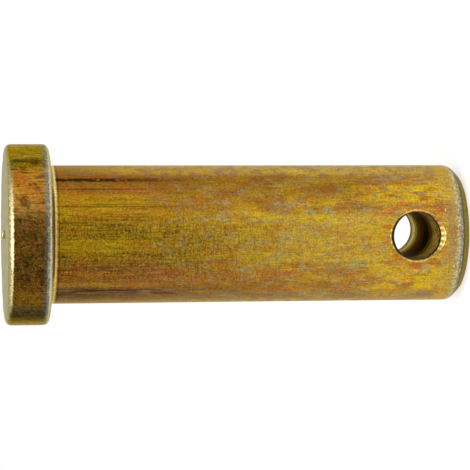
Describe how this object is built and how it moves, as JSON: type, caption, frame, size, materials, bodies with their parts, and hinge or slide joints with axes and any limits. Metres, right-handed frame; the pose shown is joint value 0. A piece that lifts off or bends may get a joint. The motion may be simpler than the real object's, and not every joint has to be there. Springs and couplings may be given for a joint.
{
  "type": "clevis pin",
  "caption": "Headed clevis pin: a straight turned shank with a flat head, an eased tip and a countersunk cross hole near the tip that takes a cotter.",
  "frame": {"origin": "centre of the tip's end face, which the pin stands on", "axes": "+Z along the shank's axis, up towards the head; +Y along the cross hole; +X completes the right-handed set"},
  "size_m": [0.0184, 0.0184, 0.0472],
  "materials": {
    "yellow_zinc": "turned steel, zinc plated and yellow chromated, with iridescent streaks"
  },
  "bodies": {
    "root": {"clevis_pin": "yellow_zinc"}
  },
  "joints": []
}
